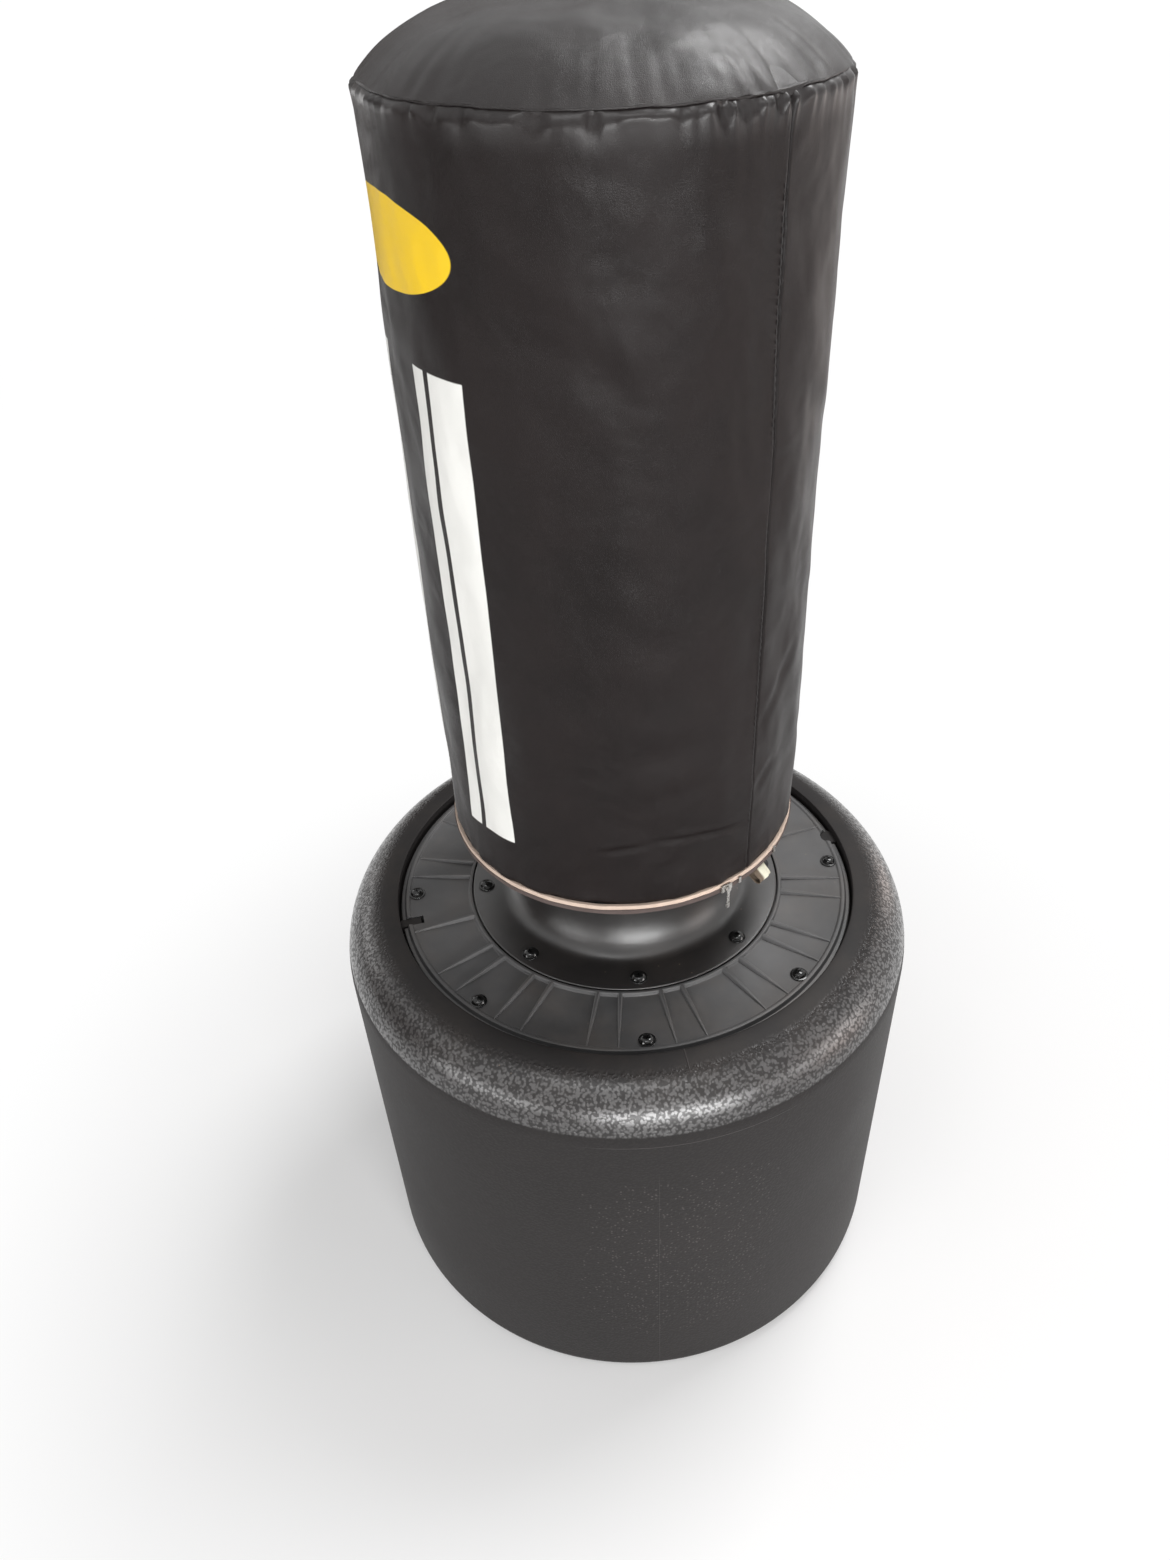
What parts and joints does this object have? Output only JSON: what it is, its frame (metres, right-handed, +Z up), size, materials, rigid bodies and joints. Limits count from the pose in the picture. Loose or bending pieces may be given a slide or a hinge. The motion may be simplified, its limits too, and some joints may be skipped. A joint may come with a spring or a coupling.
{
  "type": "free-standing punching bag",
  "caption": "Free-standing punching bag: a padded vinyl cylinder on a flared neck that sways on a bush, screwed to a ribbed plate on a sand-filled moulded base.",
  "frame": {"origin": "centre of the base's underside, on the floor", "axes": "+Z up along the bag's axis; the picture was taken from close to -Y, with +X to its right"},
  "size_m": [0.6, 0.6, 1.2805],
  "materials": {
    "tank_plastic": "grained moulded polyethylene",
    "plate_plastic": "satin moulded plastic",
    "collar_plastic": "satin moulded plastic",
    "black_screw": "glossy black",
    "vinyl": "satin coated cloth",
    "zip_tape": "woven tape",
    "nickel": "nickel plated",
    "tag_cloth": "woven label cloth",
    "rubber": "matte",
    "core_plastic": "extruded tube",
    "foam": "closed-cell foam",
    "sand": "loose dry sand"
  },
  "bodies": {
    "base": {"base_shell": "tank_plastic", "sand_ballast": "sand", "plate_gasket": "rubber", "cover_plate": "plate_plastic", "collar": "collar_plastic", "plate_screw_1": "black_screw", "plate_screw_2": "black_screw", "plate_screw_3": "black_screw", "plate_screw_4": "black_screw", "plate_screw_5": "black_screw", "plate_screw_6": "black_screw", "plate_screw_7": "black_screw", "plate_screw_8": "black_screw", "collar_screw_1": "black_screw", "collar_screw_2": "black_screw", "collar_screw_3": "black_screw", "collar_screw_4": "black_screw", "collar_screw_5": "black_screw", "collar_screw_6": "black_screw", "collar_screw_7": "black_screw", "collar_screw_8": "black_screw"},
    "plug_carrier": {"plug_seal": "rubber"},
    "plug": {"fill_plug": "collar_plastic"},
    "bush": {"neck_bush": "rubber"},
    "bag": {"core_tube": "core_plastic", "core_cap": "core_plastic", "foam_inner": "foam", "foam_outer": "foam", "foam_top": "foam", "cover_side": "vinyl", "cover_top": "vinyl", "top_welt": "vinyl", "side_seam_a": "vinyl", "side_seam_b": "vinyl", "zip_upper_tape": "zip_tape", "zip_lower_tape": "zip_tape", "zip_stop_a": "nickel", "zip_stop_b": "nickel", "sewn_tag": "tag_cloth", "bottom_panel": "vinyl"},
    "slider": {"zip_slider": "nickel"},
    "pull": {"zip_pull": "nickel"}
  },
  "joints": [
    {"name": "bag_sway_fore_aft", "type": "hinge", "parent": "base", "child": "bush", "pos_m": [0, 0, 0.64], "axis": [1, 0, 0], "range_deg": [-7, 7], "stiffness_Nm_per_rad": 600, "deforming": ["neck_bush"]},
    {"name": "bag_sway_side", "type": "hinge", "parent": "bush", "child": "bag", "pos_m": [0, 0, 0.64], "axis": [0, 1, 0], "range_deg": [-7, 7], "stiffness_Nm_per_rad": 600, "deforming": ["neck_bush"]},
    {"name": "zip_travel", "type": "hinge", "parent": "bag", "child": "slider", "pos_m": [0, 0, 0.6095], "axis": [0, 0, 1], "range_deg": [-330, 0]},
    {"name": "zip_pull_swing", "type": "hinge", "parent": "slider", "child": "pull", "pos_m": [0.08336, -0.15039, 0.6095], "axis": [0.4848, -0.8746, 0], "range_deg": [-80, 80]},
    {"name": "plug_turn_lift", "type": "slide", "parent": "base", "child": "plug_carrier", "axis": [0, 0, 1], "range_m": [0, 0.012]},
    {"name": "plug_turn", "type": "hinge", "parent": "plug_carrier", "child": "plug", "pos_m": [-0.07013, 0.1693, 0.491], "axis": [0, 0, 1], "range_deg": [0, 1080]}
  ],
  "couplings": [
    {"joint": "plug_turn_lift", "follows": "plug_turn", "m_per_rad": 0.00063662}
  ]
}
